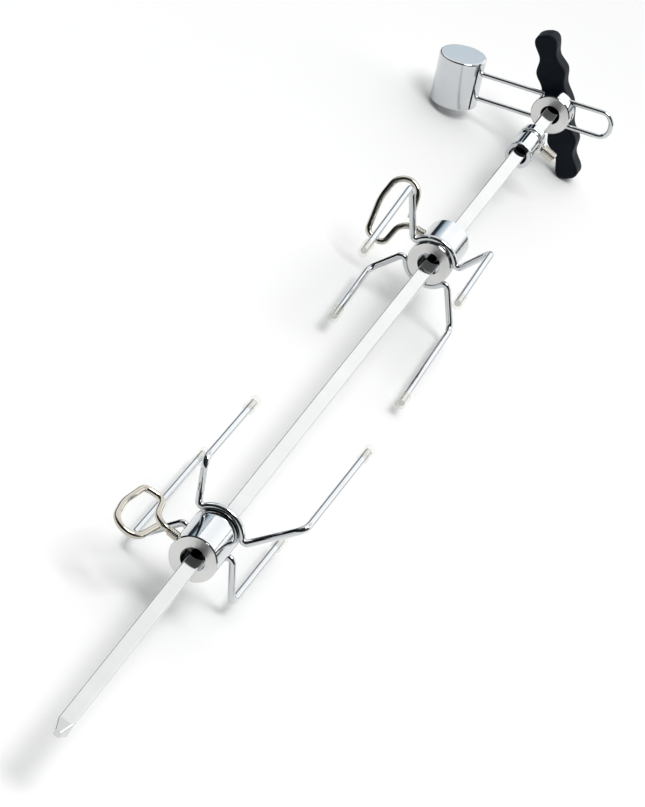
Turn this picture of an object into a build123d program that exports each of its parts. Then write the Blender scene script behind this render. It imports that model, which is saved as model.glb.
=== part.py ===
"""Rotisserie spit: square rod, two four-prong forks, bushing, counterweight and handle.

The rod's axis is X, from the blunt drive tip at the origin towards the handle.
Z is up, Y is to the left when looking along the rod from its tip. Millimetres.
"""
from build123d import *
import os
from math import cos, radians, sin

os.makedirs("parts", exist_ok=True)

RUNNING = 0.05           # radial clearance of every running fit

# spit rod
ROD_WIDTH = 7.94         # across flats, 5/16 inch
ROD_CORNER = 0.9
TIP_LENGTH = 7.0
TIP_WIDTH = 3.4
STUD_RADIUS = 3.0
BORE_RADIUS = 6.6        # round bore of the fork hubs

# forks
HUB_RADIUS = 12.7
HUB_LENGTH = 35.0
HUB_CHAMFER = 0.6
HUB_SHIFT = 1.2          # the thumbscrew pulls each fork hub to the left by this much
FORK_WIRE = 1.9          # radius
SEAT_DEPTH = 0.5         # of the groove the wires are welded into
WIRE_INSET = 3.0         # wire centre from the hub's front end
WRAP_RADIUS = HUB_RADIUS - SEAT_DEPTH + FORK_WIRE
WRAP_HALF_ANGLE = 54.0
PRONG_BEND = 5.0
VALLEY_BEND = 2.6
VALLEY_RUN = 4.6

# soft caps on the prong tips
CAP_RADIUS = 3.1
CAP_LENGTH = 12.0
CAP_DEPTH = 8.5

# looped thumbscrews of the forks
SCREW_FROM_BACK = 7.6
THREAD_RADIUS = 2.5
THREAD_START = 3.15      # from the hub's axis
THREAD_END = 18.0
LOOP_WIRE = 1.8          # radius
# loop outline: distance out along the screw, then across it
LOOP_CORNERS = [(26.6, 0), (29.3, 16.9), (40.4, 15.2), (43.8, -4.5), (42.1, -18), (29, -26.8), (23.6, -3.6)]
LOOP_BENDS = [8.6, 4.2, 4.7, 30, 8.6, 8]

# bushing
BUSHING_START = 747.0
BUSHING_LENGTH = 32.0
BUSHING_BORE = 5.5
BUSHING_RIM = 8.0
BUSHING_NECK = 6.8
NECK_BLEND = 0.9
RIM_WIDTH = 3.0
COLLAR_WIDTH = 7.0

# counterweight
CLAMP_START = 815.8
CLAMP_LENGTH = 11.8
CLAMP_RADIUS = 12.0
CLAMP_BORE = 5.9
ARM_SLOPE = -17.9        # degrees, down to the left
ARM_INSET = 2.3          # wire centre from the clamp's back face
ARM_WIRE = 1.5           # radius
ARM_HALF_GAP = 7.9
ARM_BACK = 35.5
ARM_BEND = 6.6
WEIGHT_REACH = 61.2
WEIGHT_RADIUS = 14.25
WEIGHT_HEIGHT = 31.0
WEIGHT_RISE = 1.2
WEIGHT_SOCKET = 9.0      # how far the arm goes past the weight's axis

# handle
HANDLE_START = 828.2
HANDLE_THICKNESS = 12.0
HANDLE_TURN = 50.5       # degrees from horizontal, top end to the left
STUD_LENGTH = 8.5        # threaded end of the rod inside the handle

ROD_END = HANDLE_START - 0.3


def save(builder, name):
    """Label a finished piece and write it as its own STEP file."""
    builder.part.label = name
    export_step(builder.part, f"parts/{name}.step")


def across(x):
    """Plane square to the rod at x: its x is +Y and its y is +Z."""
    return Plane(origin=(x, 0, 0), x_dir=(0, 1, 0), z_dir=(1, 0, 0))


def polar(radius, degrees):
    """Point square to the rod: an angle from +Y towards +Z."""
    return radius * cos(radians(degrees)), radius * sin(radians(degrees))


# ---------------------------------------------------------------- spit rod

with BuildPart() as spit_rod:
    with BuildSketch(across(TIP_LENGTH)):
        RectangleRounded(ROD_WIDTH, ROD_WIDTH, ROD_CORNER)
    extrude(amount=ROD_END - TIP_LENGTH)
    with BuildSketch(across(TIP_LENGTH)):
        RectangleRounded(ROD_WIDTH, ROD_WIDTH, ROD_CORNER)
    with BuildSketch(across(0)):
        RectangleRounded(TIP_WIDTH, TIP_WIDTH, TIP_WIDTH / 4)
    loft()
    with BuildSketch(across(ROD_END)):
        Circle(STUD_RADIUS)
    extrude(amount=STUD_LENGTH)
save(spit_rod, "spit_rod")


# ---------------------------------------------------------------- forks

class Wire:
    """One bent wire of a fork: where its two prongs stand round the hub and how long they are."""

    def __init__(self, place, short, long):
        self.place = place
        self.short_reach, self.short_angle, self.short_prong = short
        self.long_reach, self.long_angle, self.long_prong = long


class Fork:
    """Where one fork stands, which way its prongs point and how its screw is turned."""

    def __init__(self, name, back, facing, lean, screw_rise, loop_turn, wires):
        self.name = name
        self.back = back                  # x of the hub's plain end
        self.facing = facing              # +1: prongs point to the handle, -1: to the tip
        self.lean = lean                  # degrees that the prongs lean to the right
        self.screw_rise = screw_rise      # degrees of the thumbscrew above horizontal
        self.loop_turn = loop_turn        # of its loop about its own axis
        self.wires = wires

    def along(self, distance):
        """x at a distance from the hub's plain end, towards its prongs."""
        return self.back + self.facing * distance

    def prong_direction(self):
        return self.facing * cos(radians(self.lean)), -sin(radians(self.lean)), 0

    def on_prong(self, reach, angle, distance):
        """Point on a prong at a distance from the plane of the wires."""
        y, z = polar(reach, angle)
        x = self.along(HUB_LENGTH - WIRE_INSET)
        out, side, _ = self.prong_direction()
        return x + distance * out, HUB_SHIFT + y + distance * side, z


# the wires are bent by hand, so no two are quite alike; for each prong its distance
# from the hub's axis, its angle from +Y towards +Z and its length from the wire's plane
NEAR_WIRES = [
    Wire("upper", (39.6, 54.5, 70.3), (48.1, 140.4, 96.0)),
    Wire("lower", (38.5, 228.1, 75.5), (44.7, 318.7, 103.5)),
]
FAR_WIRES = [
    Wire("upper", (37.1, 134.2, 71.6), (45.4, 46.7, 93.3)),
    Wire("lower", (36.4, 317.4, 67.4), (41.2, 223.9, 98.4)),
]
FORKS = [
    Fork("near", 186.0, 1, 0.6, 5.0, 5.0, NEAR_WIRES),
    Fork("far", 574.5 + HUB_LENGTH, -1, 1.6, -3.0, 240.0, FAR_WIRES),
]


def fork_hub(fork):
    """Turned hub: round bore, seat groove for the wires and a tapped hole for the thumbscrew."""
    low = min(fork.back, fork.along(HUB_LENGTH))
    with BuildPart() as hub:
        with BuildSketch(across(low)):
            with Locations((HUB_SHIFT, 0)):
                Circle(HUB_RADIUS)
        extrude(amount=HUB_LENGTH)
        chamfer(hub.edges().filter_by(GeomType.CIRCLE), HUB_CHAMFER)
        with BuildSketch(across(low)):
            with Locations((HUB_SHIFT, 0)):
                Circle(BORE_RADIUS)
        extrude(amount=HUB_LENGTH, mode=Mode.SUBTRACT)
        with BuildSketch(across(fork.along(HUB_LENGTH - WIRE_INSET))):
            with Locations((HUB_SHIFT, 0)):
                Circle(HUB_RADIUS + 1)
                Circle(HUB_RADIUS - SEAT_DEPTH, mode=Mode.SUBTRACT)
        extrude(amount=FORK_WIRE + 0.1, both=True, mode=Mode.SUBTRACT)
        with BuildSketch(screw_plane(fork)):
            Circle(THREAD_RADIUS + RUNNING)
        extrude(amount=HUB_RADIUS + 1, mode=Mode.SUBTRACT)
    return hub


def screw_plane(fork):
    """Plane on the hub's axis, square to the thumbscrew; its x is the loop's width."""
    out = (0, *polar(1, fork.screw_rise))
    up = (0, *polar(1, fork.screw_rise + 90))
    turn = radians(fork.loop_turn)
    width = (cos(turn), sin(turn) * up[1], sin(turn) * up[2])
    return Plane(origin=(fork.along(SCREW_FROM_BACK), HUB_SHIFT, 0), x_dir=width, z_dir=out)


def fork_wire(fork, wire):
    """Bent wire: short prong, arm, wrap over the hub, arm, long prong."""
    x = fork.along(HUB_LENGTH - WIRE_INSET)
    crown = (wire.short_angle + wire.long_angle) / 2

    def at(point):
        return (x, point[0] + HUB_SHIFT, point[1])

    def half(side, reach, angle, prong):
        """Prong and arm on one side, ending where the wrap over the hub begins."""
        end = polar(WRAP_RADIUS, crown + side * WRAP_HALF_ANGLE)
        run = polar(VALLEY_RUN, crown + side * (WRAP_HALF_ANGLE + 90))
        valley = (end[0] + run[0], end[1] + run[1])
        return [fork.on_prong(reach, angle, prong), fork.on_prong(reach, angle, 0), at(valley), at(end)]

    short_side = -fork.facing
    short = half(short_side, wire.short_reach, wire.short_angle, wire.short_prong)
    long = half(-short_side, wire.long_reach, wire.long_angle, wire.long_prong)
    with BuildPart() as bent:
        with BuildLine() as path:
            FilletPolyline(*short, radius=[PRONG_BEND, VALLEY_BEND])
            ThreePointArc(short[-1], at(polar(WRAP_RADIUS, crown)), long[-1])
            FilletPolyline(*reversed(long), radius=[VALLEY_BEND, PRONG_BEND])
        with BuildSketch(Plane(origin=short[0], z_dir=Vector(*fork.prong_direction()) * -1)):
            Circle(FORK_WIRE)
        sweep(path=path.line)
    return bent


def prong_cap(fork, reach, angle, prong):
    """Soft cap pushed over a prong's end."""
    origin = fork.on_prong(reach, angle, prong - CAP_DEPTH)
    mouth = Plane(origin=origin, z_dir=fork.prong_direction())
    with BuildPart() as cap:
        with BuildSketch(mouth):
            Circle(CAP_RADIUS)
        extrude(amount=CAP_LENGTH)
        fillet(cap.edges().sort_by(Axis.X)[-1 if fork.facing > 0 else 0], 1.4)
        with BuildSketch(mouth):
            Circle(FORK_WIRE + RUNNING)
        extrude(amount=CAP_DEPTH + 0.1, mode=Mode.SUBTRACT)
    return cap


def loop_screw(fork):
    """Thumbscrew: threaded shank and the finger loop bent from the same wire."""
    base = screw_plane(fork)
    with BuildPart() as screw:
        with BuildSketch(base.offset(THREAD_START)):
            Circle(THREAD_RADIUS)
        extrude(amount=THREAD_END - THREAD_START)
        chamfer(screw.edges().filter_by(GeomType.CIRCLE), 0.5)
        corners = [base.from_local_coords((w, 0, a)) for a, w in [(THREAD_END - 1, 0), *LOOP_CORNERS]]
        with BuildLine() as path:
            FilletPolyline(*corners, radius=LOOP_BENDS)
        with BuildSketch(base.offset(THREAD_END - 1)):
            Circle(LOOP_WIRE)
        sweep(path=path.line)
    return screw


for fork in FORKS:
    save(fork_hub(fork), f"{fork.name}_fork_hub")
    save(loop_screw(fork), f"{fork.name}_fork_thumbscrew")
    for wire in fork.wires:
        short_cap = prong_cap(fork, wire.short_reach, wire.short_angle, wire.short_prong)
        long_cap = prong_cap(fork, wire.long_reach, wire.long_angle, wire.long_prong)
        save(fork_wire(fork, wire), f"{fork.name}_fork_{wire.place}_wire")
        save(short_cap, f"{fork.name}_{wire.place}_short_cap")
        save(long_cap, f"{fork.name}_{wire.place}_long_cap")


# ---------------------------------------------------------------- bushing

COLLAR_START = BUSHING_START + BUSHING_LENGTH - COLLAR_WIDTH
COLLAR_MIDDLE = COLLAR_START + COLLAR_WIDTH / 2
KNOB_TURN = 189.0        # degrees from +Y: out to the right and a little down
KNOB_THREAD = 2.0        # radius
KNOB_START = 9.2         # inner face of the screw's head, from the rod's axis
KNOB_LENGTH = 8.7
KNOB_RADIUS = 3.4


def along_knob(distance):
    """Plane square to the bushing's thumbscrew at a distance from the rod's axis."""
    out = (0, *polar(1, KNOB_TURN))
    y, z = polar(distance, KNOB_TURN)
    return Plane(origin=(COLLAR_MIDDLE, y, z), z_dir=out)


with BuildPart() as bushing:
    with BuildSketch(across(BUSHING_START)):
        Circle(BUSHING_RIM)
    extrude(amount=BUSHING_LENGTH)
    with BuildSketch(across(BUSHING_START + RIM_WIDTH)):
        Circle(BUSHING_RIM + 1)
        Circle(BUSHING_NECK, mode=Mode.SUBTRACT)
    extrude(amount=COLLAR_START - BUSHING_START - RIM_WIDTH, mode=Mode.SUBTRACT)
    neck_edges = bushing.edges().filter_by(GeomType.CIRCLE).group_by(lambda edge: edge.radius)[0]
    fillet(neck_edges, NECK_BLEND)
    fillet(bushing.edges().filter_by(GeomType.CIRCLE).group_by(lambda edge: edge.radius)[-1], 0.4)
    with BuildSketch(across(BUSHING_START)):
        Circle(BUSHING_BORE)
    extrude(amount=BUSHING_LENGTH, mode=Mode.SUBTRACT)
    with BuildSketch(along_knob(0)):
        Circle(KNOB_THREAD + RUNNING)
    extrude(amount=BUSHING_RIM + 1, mode=Mode.SUBTRACT)
save(bushing, "bushing")

with BuildPart() as bushing_thumbscrew:
    with BuildSketch(along_knob(ROD_WIDTH / 2 + 0.4)):
        Circle(KNOB_THREAD)
    extrude(amount=KNOB_START - ROD_WIDTH / 2)
    with BuildSketch(along_knob(KNOB_START)):
        Circle(KNOB_RADIUS)
    extrude(amount=KNOB_LENGTH)
    fillet(bushing_thumbscrew.edges().filter_by(GeomType.CIRCLE).sort_by(Axis.Y)[0], 1.0)
save(bushing_thumbscrew, "bushing_thumbscrew")


# ---------------------------------------------------------------- counterweight

ARM_X = CLAMP_START + CLAMP_LENGTH - ARM_INSET

# the arm's plane, square to the rod: x out along the arm to the weight, y across it
ARM_PLANE = Plane(origin=(ARM_X, 0, 0), x_dir=(0, *polar(1, ARM_SLOPE)), z_dir=(1, 0, 0))


def arm_point(out, side, forward=0):
    return ARM_PLANE.from_local_coords((out, side, forward))


def along_arm(out, side, towards=1):
    """Plane square to the arm; positive extrusion runs out to the weight."""
    return Plane(origin=arm_point(out, side), z_dir=ARM_PLANE.x_dir * towards)


def along_grub(out, towards=1):
    """Plane square to the grub screw, which stands in the middle of the hub."""
    middle = CLAMP_START + CLAMP_LENGTH / 2 - ARM_X
    return Plane(origin=arm_point(out, 0, middle), z_dir=ARM_PLANE.x_dir * towards)


with BuildPart() as counterweight_hub:
    with BuildSketch(across(CLAMP_START)):
        Circle(CLAMP_RADIUS)
    extrude(amount=CLAMP_LENGTH)
    chamfer(counterweight_hub.edges().filter_by(GeomType.CIRCLE), HUB_CHAMFER)
    with BuildSketch(across(CLAMP_START)):
        Circle(CLAMP_BORE)
    extrude(amount=CLAMP_LENGTH, mode=Mode.SUBTRACT)
    for side in (ARM_HALF_GAP, -ARM_HALF_GAP):
        with BuildSketch(along_arm(0, side)):
            Circle(ARM_WIRE + RUNNING)
        extrude(amount=CLAMP_RADIUS, both=True, mode=Mode.SUBTRACT)
    with BuildSketch(along_grub(0, -1)):
        Circle(THREAD_RADIUS + RUNNING)
    extrude(amount=CLAMP_RADIUS + 1, mode=Mode.SUBTRACT)
save(counterweight_hub, "counterweight_hub")

SOCKET_WIDTH = 2.5       # hex socket of the grub screw, across flats
GRUB_START = 5.7         # its point, from the rod's axis

with BuildPart() as counterweight_grub_screw:
    with BuildSketch(along_grub(-GRUB_START, -1)):
        Circle(THREAD_RADIUS)
    extrude(amount=CLAMP_RADIUS - 0.8 - GRUB_START)
    with BuildSketch(along_grub(-CLAMP_RADIUS + 0.8)):
        RegularPolygon(SOCKET_WIDTH / 2, 6, major_radius=False)
    extrude(amount=2.5, mode=Mode.SUBTRACT)
save(counterweight_grub_screw, "counterweight_grub_screw")

with BuildPart() as counterweight_frame:
    arm_end = WEIGHT_REACH + WEIGHT_SOCKET
    corners = [(arm_end, ARM_HALF_GAP), (-ARM_BACK, ARM_HALF_GAP)]
    corners += [(-ARM_BACK, -ARM_HALF_GAP), (arm_end, -ARM_HALF_GAP)]
    with BuildLine() as arm_path:
        FilletPolyline(*[arm_point(*corner) for corner in corners], radius=ARM_BEND)
    with BuildSketch(along_arm(arm_end, ARM_HALF_GAP, -1)):
        Circle(ARM_WIRE)
    sweep(path=arm_path.line)
save(counterweight_frame, "counterweight_frame")

weight_foot = arm_point(WEIGHT_REACH, WEIGHT_RISE - WEIGHT_HEIGHT / 2)

with BuildPart() as counterweight:
    with BuildSketch(Plane(origin=weight_foot, z_dir=ARM_PLANE.y_dir)):
        Circle(WEIGHT_RADIUS)
    extrude(amount=WEIGHT_HEIGHT)
    fillet(counterweight.edges().filter_by(GeomType.CIRCLE), 1.2)
    for side in (ARM_HALF_GAP, -ARM_HALF_GAP):
        with BuildSketch(along_arm(WEIGHT_REACH + WEIGHT_SOCKET, side, -1)):
            Circle(ARM_WIRE)
        extrude(amount=WEIGHT_SOCKET + WEIGHT_RADIUS + 1, mode=Mode.SUBTRACT)
save(counterweight, "counterweight")


# ---------------------------------------------------------------- handle

# half outline of the grip, from the middle out to one end: along the grip, half width
GRIP_OUTLINE = [(0, 9.4), (14.5, 7.4), (22.3, 9.0), (30.6, 5.6), (38.8, 6.8), (45.6, 0)]

handle_front = Plane(
    origin=(HANDLE_START, 0, 0), x_dir=(0, *polar(1, HANDLE_TURN)), z_dir=(1, 0, 0)
)

with BuildPart() as handle_grip:
    with BuildSketch(handle_front):
        with BuildLine() as outline:
            Spline(*GRIP_OUTLINE, tangents=[(1, 0), (0, -1)])
            mirror(about=Plane.XZ)
            mirror(about=Plane.YZ)
        make_face()
    extrude(amount=HANDLE_THICKNESS)
    fillet(handle_grip.faces().filter_by(Axis.X).edges(), 1.8)
    with BuildSketch(handle_front):
        Circle(STUD_RADIUS + RUNNING)
    extrude(amount=STUD_LENGTH + 0.5, mode=Mode.SUBTRACT)
save(handle_grip, "handle_grip")
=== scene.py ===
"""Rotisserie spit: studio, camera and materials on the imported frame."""
import math

import bpy
from mathutils import Matrix, Vector


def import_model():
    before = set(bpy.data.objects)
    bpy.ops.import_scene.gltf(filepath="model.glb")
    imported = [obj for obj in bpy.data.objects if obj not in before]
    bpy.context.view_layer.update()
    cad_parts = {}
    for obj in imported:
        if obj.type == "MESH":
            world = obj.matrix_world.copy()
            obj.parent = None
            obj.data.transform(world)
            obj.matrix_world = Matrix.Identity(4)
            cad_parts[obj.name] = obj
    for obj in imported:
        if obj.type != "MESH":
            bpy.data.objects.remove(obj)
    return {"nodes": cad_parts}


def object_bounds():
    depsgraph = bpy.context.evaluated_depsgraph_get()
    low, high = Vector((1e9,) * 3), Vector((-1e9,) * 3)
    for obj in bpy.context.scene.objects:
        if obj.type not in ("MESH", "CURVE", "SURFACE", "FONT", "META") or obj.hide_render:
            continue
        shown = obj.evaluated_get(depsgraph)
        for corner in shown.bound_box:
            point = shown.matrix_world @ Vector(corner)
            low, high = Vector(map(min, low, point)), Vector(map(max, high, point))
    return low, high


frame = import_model()
cad_box = [list(corner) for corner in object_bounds()]
nodes = frame["nodes"]
low, high = (Vector(corner) for corner in cad_box)

TENT = 1.5
KEY = 30
CAMERA_PLACE = (-1.8597, -0.11655, 1.29532)
CAMERA_TARGET = (0.38161, -0.00095, 0.0)
CAMERA_ROLL = 32.62
CAMERA_LENS = 223.05
FLOOR = 20               # from the middle of the floor to its sides

# plating tones, bright and dark; turned faces have one
CHROME = ((0.64, 0.655, 0.675), (0.6, 0.615, 0.635))
ROD = ((0.64, 0.645, 0.65), (0.6, 0.61, 0.612))
NICKEL = ((0.62, 0.585, 0.52), (0.54, 0.505, 0.45))
TURNED = (0.76, 0.755, 0.745)
THREAD_END = 0.0205      # y where the thread of the thumbscrews ends


# ---------------------------------------------------------------- node helpers

def new_material(name):
    material = bpy.data.materials.new(name)
    material.use_nodes = True
    tree = material.node_tree
    shader = tree.nodes["Principled BSDF"]
    return material, tree, shader


def add(tree, kind, **values):
    node = tree.nodes.new(kind)
    for key, value in values.items():
        setattr(node, key, value)
    return node


def ramp(tree, source, stops):
    node = add(tree, "ShaderNodeValToRGB")
    elements = node.color_ramp.elements
    while len(elements) < len(stops):
        elements.new(0.5)
    for element, (position, value) in zip(elements, stops):
        element.position = position
        element.color = value if isinstance(value, tuple) else (value, value, value, 1)
    tree.links.new(source, node.inputs[0])
    return node


def noise(tree, scale, detail=4, roughness=0.55, stretch=(1, 1, 1)):
    coords = add(tree, "ShaderNodeTexCoord")
    mapping = add(tree, "ShaderNodeMapping")
    mapping.inputs["Scale"].default_value = stretch
    tree.links.new(coords.outputs["Object"], mapping.inputs["Vector"])
    node = add(tree, "ShaderNodeTexNoise")
    node.inputs["Scale"].default_value = scale
    node.inputs["Detail"].default_value = detail
    node.inputs["Roughness"].default_value = roughness
    tree.links.new(mapping.outputs["Vector"], node.inputs["Vector"])
    return node


def bump(tree, shader, source, strength, distance):
    node = add(tree, "ShaderNodeBump")
    node.inputs["Strength"].default_value = strength
    node.inputs["Distance"].default_value = distance
    tree.links.new(source, node.inputs["Height"])
    tree.links.new(node.outputs["Normal"], shader.inputs["Normal"])


# ---------------------------------------------------------------- materials

def plated(name, bright, dark, rough_low, rough_high, ripple=0):
    """Polished plating: faint tone patches, fine haze and, if asked, a slight ripple."""
    material, tree, shader = new_material(name)
    shader.inputs["Metallic"].default_value = 1.0
    patches = noise(tree, 45, 5)
    tone = ramp(tree, patches.outputs["Fac"], [(0.3, (*dark, 1)), (0.7, (*bright, 1))])
    tree.links.new(tone.outputs["Color"], shader.inputs["Base Color"])
    haze = noise(tree, 260, 6, 0.65, (1, 3, 3))
    rough = ramp(tree, haze.outputs["Fac"], [(0.35, rough_low), (0.75, rough_high)])
    tree.links.new(rough.outputs["Color"], shader.inputs["Roughness"])
    if ripple:
        waves = noise(tree, 120, 2)
        bump(tree, shader, waves.outputs["Fac"], ripple, 0.0002)
    return material


def turned_plating(name, bright, dark):
    """Plating over a lathe-turned part: fine rings round the rod's axis on its flat faces."""
    material = plated(name, bright, dark, 0.05, 0.11)
    tree = material.node_tree
    shader = tree.nodes["Principled BSDF"]
    coords = add(tree, "ShaderNodeTexCoord")
    rings = add(tree, "ShaderNodeTexWave", wave_type="RINGS", rings_direction="X")
    rings.inputs["Scale"].default_value = 640
    rings.inputs["Distortion"].default_value = 1.5
    rings.inputs["Detail"].default_value = 3
    tree.links.new(coords.outputs["Object"], rings.inputs["Vector"])
    bump(tree, shader, rings.outputs["Fac"], 0.5, 0.00006)
    facing = add(tree, "ShaderNodeNewGeometry")
    split = add(tree, "ShaderNodeSeparateXYZ")
    tree.links.new(facing.outputs["Normal"], split.inputs[0])
    size = add(tree, "ShaderNodeMath", operation="ABSOLUTE")
    tree.links.new(split.outputs["X"], size.inputs[0])
    flat = ramp(tree, size.outputs[0], [(0.8, 0.06), (0.95, 0.3)])
    pale = add(tree, "ShaderNodeMix", data_type="RGBA")
    face_mask = ramp(tree, size.outputs[0], [(0.8, 0.0), (0.95, 1.0)])
    tree.links.new(face_mask.outputs["Color"], pale.inputs["Factor"])
    tone = shader.inputs["Base Color"].links[0].from_socket
    tree.links.new(tone, pale.inputs["A"])
    pale.inputs["B"].default_value = (*TURNED, 1)
    tree.links.new(pale.outputs["Result"], shader.inputs["Base Color"])
    tree.links.new(flat.outputs["Color"], shader.inputs["Roughness"])
    return material


def threaded(name, bright, dark):
    """Plating with a cut thread on the shank near the hub."""
    material = plated(name, bright, dark, 0.05, 0.12)
    tree = material.node_tree
    shader = tree.nodes["Principled BSDF"]
    coords = add(tree, "ShaderNodeTexCoord")
    turns = add(tree, "ShaderNodeTexWave", wave_type="BANDS", bands_direction="Y")
    turns.inputs["Scale"].default_value = 310
    tree.links.new(coords.outputs["Object"], turns.inputs["Vector"])
    split = add(tree, "ShaderNodeSeparateXYZ")
    tree.links.new(coords.outputs["Object"], split.inputs[0])
    shank = add(tree, "ShaderNodeMapRange")
    shank.inputs["From Min"].default_value = THREAD_END
    shank.inputs["From Max"].default_value = THREAD_END - 0.0004
    tree.links.new(split.outputs["Y"], shank.inputs["Value"])
    cut = add(tree, "ShaderNodeMath", operation="MULTIPLY")
    tree.links.new(turns.outputs["Fac"], cut.inputs[0])
    tree.links.new(shank.outputs["Result"], cut.inputs[1])
    bump(tree, shader, cut.outputs[0], 0.9, 0.0004)
    return material


chrome = plated("chrome plating", *CHROME, 0.03, 0.08, 0.1)
rod_chrome = plated("rod plating", *ROD, 0.05, 0.11, 0.08)
hub_chrome = turned_plating("turned hub plating", *CHROME)
nickel = threaded("nickel plating", *NICKEL)


def moulded_plastic():
    material, tree, shader = new_material("moulded black plastic")
    patches = noise(tree, 90, 4)
    tone = ramp(
        tree, patches.outputs["Fac"],
        [(0.3, (0.0015, 0.0035, 0.008, 1)), (0.7, (0.003, 0.007, 0.015, 1))],
    )
    tree.links.new(tone.outputs["Color"], shader.inputs["Base Color"])
    haze = noise(tree, 500, 5)
    rough = ramp(tree, haze.outputs["Fac"], [(0.3, 0.5), (0.7, 0.62)])
    shader.inputs["Specular IOR Level"].default_value = 0.14
    tree.links.new(rough.outputs["Color"], shader.inputs["Roughness"])
    bump(tree, shader, haze.outputs["Fac"], 0.25, 0.0002)
    return material


def clear_vinyl():
    """Thin clear vinyl: mostly see-through, faintly yellow."""
    material, tree, shader = new_material("clear vinyl")
    patches = noise(tree, 200, 4)
    tone = ramp(tree, patches.outputs["Fac"], [(0.3, (0.78, 0.74, 0.56, 1)), (0.7, (0.86, 0.83, 0.68, 1))])
    tree.links.new(tone.outputs["Color"], shader.inputs["Base Color"])
    clear = ramp(tree, patches.outputs["Fac"], [(0.3, 0.1), (0.7, 0.18)])
    tree.links.new(clear.outputs["Color"], shader.inputs["Alpha"])
    haze = noise(tree, 700, 4)
    rough = ramp(tree, haze.outputs["Fac"], [(0.3, 0.1), (0.7, 0.2)])
    tree.links.new(rough.outputs["Color"], shader.inputs["Roughness"])
    bump(tree, shader, haze.outputs["Fac"], 0.15, 0.0002)
    return material


plastic = moulded_plastic()
vinyl = clear_vinyl()


def paint(node, material):
    slots = nodes[node].material_slots
    for item in slots:
        item.material = material


for name in nodes:
    if name.endswith("_cap"):
        paint(name, vinyl)
    elif name == "handle_grip":
        paint(name, plastic)
    elif name.endswith("thumbscrew") or name == "counterweight_grub_screw":
        paint(name, nickel)
    elif name == "spit_rod":
        paint(name, rod_chrome)
    elif name.endswith("_hub"):
        paint(name, hub_chrome)
    else:
        paint(name, chrome)


# ---------------------------------------------------------------- studio

def floor():
    """Wide pale floor that reaches past the horizon of every view."""
    mesh = bpy.data.meshes.new("floor")
    z = low.z - 0.0002
    corners = [(-FLOOR, -FLOOR, z), (FLOOR, -FLOOR, z), (FLOOR, FLOOR, z), (-FLOOR, FLOOR, z)]
    mesh.from_pydata(corners, [], [(0, 1, 2, 3)])
    obj = bpy.data.objects.new("floor", mesh)
    bpy.context.scene.collection.objects.link(obj)
    material, tree, shader = new_material("white sweep")
    patches = noise(tree, 3, 3)
    tone = ramp(
        tree, patches.outputs["Fac"],
        [(0.3, (0.955, 0.955, 0.95, 1)), (0.7, (0.965, 0.965, 0.96, 1))],
    )
    tree.links.new(tone.outputs["Color"], shader.inputs["Base Color"])
    shader.inputs["Roughness"].default_value = 0.6
    mesh.materials.append(material)


def area(name, place, target, size, power, colour=(1, 1, 1)):
    data = bpy.data.lights.new(name, "AREA")
    data.shape = "RECTANGLE"
    data.size, data.size_y = size
    data.energy = power
    data.color = colour
    obj = bpy.data.objects.new(name, data)
    bpy.context.scene.collection.objects.link(obj)
    obj.location = place
    obj.rotation_euler = (Vector(target) - Vector(place)).to_track_quat("-Z", "Y").to_euler()


def along(tree, direction, start, end):
    """How far the view of the surroundings lies along a direction, from 0 to 1."""
    coords = add(tree, "ShaderNodeTexCoord")
    dot = add(tree, "ShaderNodeVectorMath", operation="DOT_PRODUCT")
    dot.inputs[1].default_value = direction
    tree.links.new(coords.outputs["Generated"], dot.inputs[0])
    scaled = add(tree, "ShaderNodeMapRange")
    scaled.inputs["From Min"].default_value = start
    scaled.inputs["From Max"].default_value = end
    tree.links.new(dot.outputs["Value"], scaled.inputs["Value"])
    return scaled.outputs["Result"]


def multiply(tree, first, second):
    node = add(tree, "ShaderNodeMix", data_type="RGBA", blend_type="MULTIPLY")
    node.inputs["Factor"].default_value = 1.0
    tree.links.new(first, node.inputs["A"])
    tree.links.new(second, node.inputs["B"])
    return node.outputs["Result"]


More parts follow.
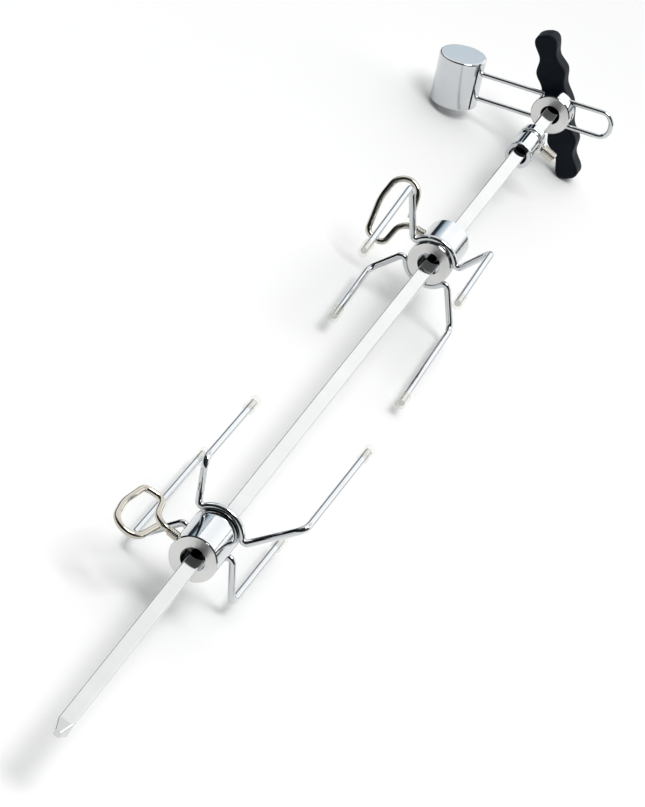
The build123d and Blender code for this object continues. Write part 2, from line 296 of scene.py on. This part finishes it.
def world():
    """White tent beyond and above the part, a dark room behind the camera, dark horizons."""
    scene_world = bpy.data.worlds.new("studio")
    bpy.context.scene.world = scene_world
    scene_world.use_nodes = True
    tree = scene_world.node_tree
    back = tree.nodes["Background"]
    tent = ramp(
        tree, along(tree, (1, 0, 0.45), -1.0, 1.2),
        [(0.0, (0.015, 0.017, 0.02, 1)), (0.36, (0.02, 0.022, 0.024, 1)), (0.42, (0.16, 0.18, 0.16, 1)),
         (0.46, (0.03, 0.035, 0.04, 1)), (0.54, (0.05, 0.055, 0.06, 1)), (0.64, (1, 1, 1, 1))],
    )
    left_horizon = ramp(
        tree, along(tree, (0, -0.3, 1), 0.0, 0.4),
        [(0.0, (0.02, 0.025, 0.035, 1)), (0.12, (0.03, 0.04, 0.055, 1)), (0.3, (0.3, 0.37, 0.43, 1)),
         (0.65, (0.6, 0.655, 0.69, 1)), (0.9, (1, 1, 1, 1))],
    )
    right_horizon = ramp(
        tree, along(tree, (0, 0.06, 1), 0.0, 0.2),
        [(0.0, (0.2, 0.15, 0.11, 1)), (0.15, (0.3, 0.24, 0.18, 1)), (0.4, (1, 1, 1, 1))],
    )
    overhead = ramp(
        tree, along(tree, (0, 0, 1), 0.4, 0.64),
        [(0.0, (1.04, 1.04, 1.03, 1)), (0.45, (0.95, 0.955, 0.95, 1)), (1.0, (0.72, 0.725, 0.715, 1))],
    )
    colour = multiply(tree, tent.outputs["Color"], left_horizon.outputs["Color"])
    colour = multiply(tree, colour, right_horizon.outputs["Color"])
    colour = multiply(tree, colour, overhead.outputs["Color"])
    tree.links.new(colour, back.inputs["Color"])
    back.inputs["Strength"].default_value = TENT


floor()
world()
middle = Vector(((low.x + high.x) / 2, 0, 0))
area("key", (middle.x - 0.32, -0.42, 2.3), middle, (1.1, 1.1), KEY)


# ---------------------------------------------------------------- camera

def camera():
    data = bpy.data.cameras.new("camera")
    data.lens = CAMERA_LENS
    data.sensor_width = 36.0
    data.clip_end = 50
    obj = bpy.data.objects.new("camera", data)
    bpy.context.scene.collection.objects.link(obj)
    aim = (Vector(CAMERA_TARGET) - Vector(CAMERA_PLACE)).to_track_quat("-Z", "Y").to_matrix().to_4x4()
    roll = Matrix.Rotation(math.radians(CAMERA_ROLL), 4, "Z")
    obj.matrix_world = Matrix.Translation(CAMERA_PLACE) @ aim @ roll
    bpy.context.scene.camera = obj


camera()

scene = bpy.context.scene
scene.view_settings.view_transform = "Standard"
scene.view_settings.look = "None"
scene.view_settings.exposure = 0.0
